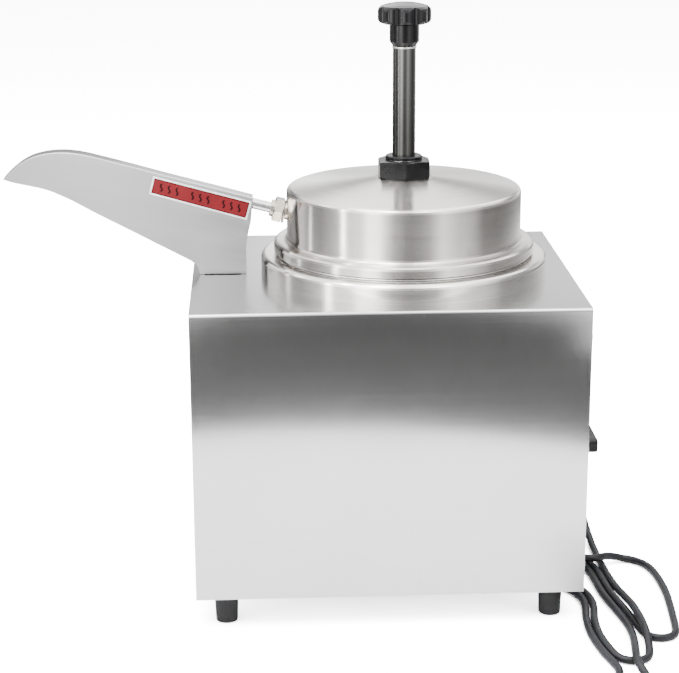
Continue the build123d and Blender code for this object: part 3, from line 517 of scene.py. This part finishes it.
def figure(name, text, angle):
    """A number on the dial, upright as seen from behind."""
    cu = bpy.data.curves.new(name, "FONT")
    cu.body = text
    cu.size = 0.0060
    cu.extrude = 0.00003
    cu.align_x, cu.align_y = "CENTER", "CENTER"
    tmp = bpy.data.objects.new(name + "_text", cu)
    SCENE.collection.objects.link(tmp)
    bpy.context.view_layer.update()
    me = bpy.data.meshes.new_from_object(tmp.evaluated_get(bpy.context.evaluated_depsgraph_get()))
    bpy.data.objects.remove(tmp)
    bpy.data.curves.remove(cu)
    c, q = math.cos(math.radians(angle)), math.sin(math.radians(angle))
    me.transform(Matrix(((-1, 0, 0, 0), (0, 0, 1, 0), (0, 1, 0, 0), (0, 0, 0, 1))))
    me.transform(Matrix.Translation(pt(26.6 * c, DIAL_Y + 0.05, CTRL_Z + 26.6 * q)))
    me.materials.clear()
    me.materials.append(BLACK_INK)
    o = bpy.data.objects.new(name, me)
    SCENE.collection.objects.link(o)
    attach(o, "cabinet")


for i in range(6):
    figure("dial_figure_%d" % i, str(2 * i), 54.0 * i)

mesh_piece("knob_pointer", *slab([(8.0, CTRL_Z - 0.8), (18.2, CTRL_Z - 0.8), (18.2, CTRL_Z + 0.8), (8.0, CTRL_Z + 0.8)],
                                 KNOB_Y), WHITE_INK, "control_knob", "black_plastic")


def on_rocker(x, h):
    """A point on the rocker's outer faces, h above its middle."""
    y = HY + 2.0 + (h * 2.3 / 11.4 if h > 0 else h * 1.5 / 11.5)
    return x + SWITCH_X, y, CTRL_Z + h


def rocker_patch(corners, lift=0.06):
    vs = []
    for l in (0.0, lift):
        for x, h in corners:
            a, b, c = on_rocker(x, h)
            vs.append(pt(a, b + l, c))
    n = len(corners)
    return vs, [tuple(range(n, 2 * n))] + [(i, (i + 1) % n, n + (i + 1) % n, n + i) for i in range(n)]


bar = rocker_patch([(-0.5, 3.8), (0.5, 3.8), (0.5, 8.6), (-0.5, 8.6)])
ring = [rocker_patch([(r * math.cos(a), -6.0 + r * math.sin(a)) for r, a in
                      ((1.7, k * math.pi / 12), (2.5, k * math.pi / 12), (2.5, (k + 1) * math.pi / 12), (1.7, (k + 1) * math.pi / 12))])
        for k in range(24)]
mesh_piece("rocker_marks", *join([bar] + ring), WHITE_INK, "rocker", "black_plastic")

# ---- floor and light --------------------------------------------------------
def plain(name, kind="ShaderNodeEmission"):
    m = bpy.data.materials.new(name)
    m.use_nodes = True
    nt = m.node_tree
    nt.nodes.clear()
    sh = nt.nodes.new(kind)
    out = nt.nodes.new("ShaderNodeOutputMaterial")
    nt.links.new(sh.outputs[0], out.inputs[0])
    return m, nt, sh


def stage_mesh(name, verts, faces, material):
    me = bpy.data.meshes.new(name)
    me.from_pydata(verts, [], faces)
    me.materials.append(material)
    o = bpy.data.objects.new(name, me)
    SCENE.collection.objects.link(o)
    return o


# a pale floor, exposed to white as in a cut-out product picture, with the object's own soft shadow left on it
mat_floor, nt, sh = plain("floor_white", "ShaderNodeBsdfDiffuse")
lp = nt.nodes.new("ShaderNodeLightPath")
mx = nt.nodes.new("ShaderNodeMix")
mx.data_type = "RGBA"
mx.clamp_result = False
mx.inputs[6].default_value = (0.90, 0.90, 0.90, 1)
mx.inputs[7].default_value = (FLOOR_GAIN, FLOOR_GAIN, FLOOR_GAIN, 1)
nt.links.new(lp.outputs["Is Camera Ray"], mx.inputs[0])
nt.links.new(mx.outputs[2], sh.inputs[0])
stage_mesh("floor", [(-9, -9, 0), (9, -9, 0), (9, 9, 0), (-9, 9, 0)], [(0, 1, 2, 3)], mat_floor)


def ramp_node(nt, stops, interp="LINEAR"):
    n = nt.nodes.new("ShaderNodeValToRGB")
    n.color_ramp.interpolation = interp
    e = n.color_ramp.elements
    while len(e) > 1:
        e.remove(e[-1])
    e[0].position, e[0].color = stops[0][0], (stops[0][1],) * 3 + (1,)
    for p, v in stops[1:]:
        x = e.new(p)
        x.color = (v, v, v, 1)
    return n


def node_math(nt, op, a, b):
    n = nt.nodes.new("ShaderNodeMath")
    n.operation = op
    for s, v in zip(n.inputs, (a, b)):
        if isinstance(v, bpy.types.NodeSocket):
            nt.links.new(v, s)
        else:
            s.default_value = v
    return n.outputs[0]


# what the steel mirrors: a round studio wall with softboxes and dark gaps between them, only seen in reflections
mat_wall, nt, sh = plain("studio_wall")
tc = nt.nodes.new("ShaderNodeTexCoord")
sx = nt.nodes.new("ShaderNodeSeparateXYZ")
nt.links.new(tc.outputs["Object"], sx.inputs[0])
az = node_math(nt, "ARCTAN2", sx.outputs[1], sx.outputs[0])
az01 = node_math(nt, "ADD", node_math(nt, "MULTIPLY", az, 1 / (2 * math.pi)), 0.5)
bands = ramp_node(nt, [((d + 180) / 360.0, v / 20.0) for d, v in BANDS[:31]])
nt.links.new(az01, bands.inputs[0])
tail = ramp_node(nt, [(0.0, 0.0)] + [((d + 180) / 360.0, v / 20.0) for d, v in BANDS[30:]])
nt.links.new(az01, tail.inputs[0])
zz = node_math(nt, "DIVIDE", sx.outputs[2], 2.0)
high = ramp_node(nt, [(z / 2.0, v / 4.0) for z, v in HIGH])
mid = ramp_node(nt, [(z / 2.0, v / 4.0) for z, v in HIGH_MID])
low = ramp_node(nt, [(z / 2.0, v / 2.0) for z, v in LOW])
nt.links.new(zz, high.inputs[0])
nt.links.new(zz, low.inputs[0])
nt.links.new(zz, mid.inputs[0])
zone = ramp_node(nt, [(0.0, 0.0), (160 / 360.0, 0.0), (167 / 360.0, 1.0), (206 / 360.0, 1.0), (215 / 360.0, 0.0), (1.0, 0.0)])
nt.links.new(az01, zone.inputs[0])
tall = node_math(nt, "ADD", node_math(nt, "MULTIPLY", mid.outputs[0], zone.outputs[0]),
                 node_math(nt, "MULTIPLY", high.outputs[0], node_math(nt, "SUBTRACT", 1.0, zone.outputs[0])))
past = node_math(nt, "GREATER_THAN", az01, (BANDS[30][0] + 180) / 360.0)
pick = node_math(nt, "ADD", node_math(nt, "MULTIPLY", tail.outputs[0], past),
                 node_math(nt, "MULTIPLY", bands.outputs[0], node_math(nt, "SUBTRACT", 1.0, past)))
val = node_math(nt, "ADD", node_math(nt, "MULTIPLY", node_math(nt, "MULTIPLY", pick, tall), 80.0 * WALL_GAIN),
                node_math(nt, "MULTIPLY", low.outputs[0], 2.0 * WALL_GAIN))
nt.links.new(val, sh.inputs[1])
n = 96
vs = [(WALL_R * math.cos(2 * math.pi * i / n), WALL_R * math.sin(2 * math.pi * i / n), z) for z in (0.0, 2.0) for i in range(n)]
fs = [(i, (i + 1) % n, n + (i + 1) % n, n + i) for i in range(n)] + [tuple(range(n, 2 * n))]
wall = stage_mesh("studio_wall", vs, fs, mat_wall)
wall.visible_camera = False
wall.visible_diffuse = False
wall.visible_shadow = False
wall.visible_transmission = False
wall.visible_volume_scatter = False


def area(name, loc, target, size, size_y, power):
    d = bpy.data.lights.new(name, "AREA")
    d.shape = "RECTANGLE"
    d.size, d.size_y, d.energy = size, size_y, power
    o = bpy.data.objects.new(name, d)
    SCENE.collection.objects.link(o)
    o.location = loc
    o.rotation_euler = (Vector(target) - Vector(loc)).to_track_quat("-Z", "Y").to_euler()
    return o


area("key", (0.2, 0.1, 2.1), (0, 0.05, 0.2), 2.6, 2.6, 150)
area("left", (0.9, -1.7, 1.1), (0, 0, 0.25), 0.9, 1.4, 26)
area("right", (1.0, 1.7, 1.0), (0, 0.05, 0.25), 0.8, 1.4, 20)

world = bpy.data.worlds.new("studio")
SCENE.world = world
world.use_nodes = True
wt = world.node_tree
wt.nodes.clear()
wo = wt.nodes.new("ShaderNodeOutputWorld")
bg = wt.nodes.new("ShaderNodeBackground")
wt.links.new(bg.outputs[0], wo.inputs[0])
bg.inputs[0].default_value = (1, 1, 1, 1)
wlp = wt.nodes.new("ShaderNodeLightPath")
ws = wt.nodes.new("ShaderNodeMapRange")
wt.links.new(wlp.outputs["Is Camera Ray"], ws.inputs["Value"])
ws.inputs["To Min"].default_value = WORLD
ws.inputs["To Max"].default_value = 9.0
wt.links.new(ws.outputs[0], bg.inputs[1])

bpy.context.view_layer.update()
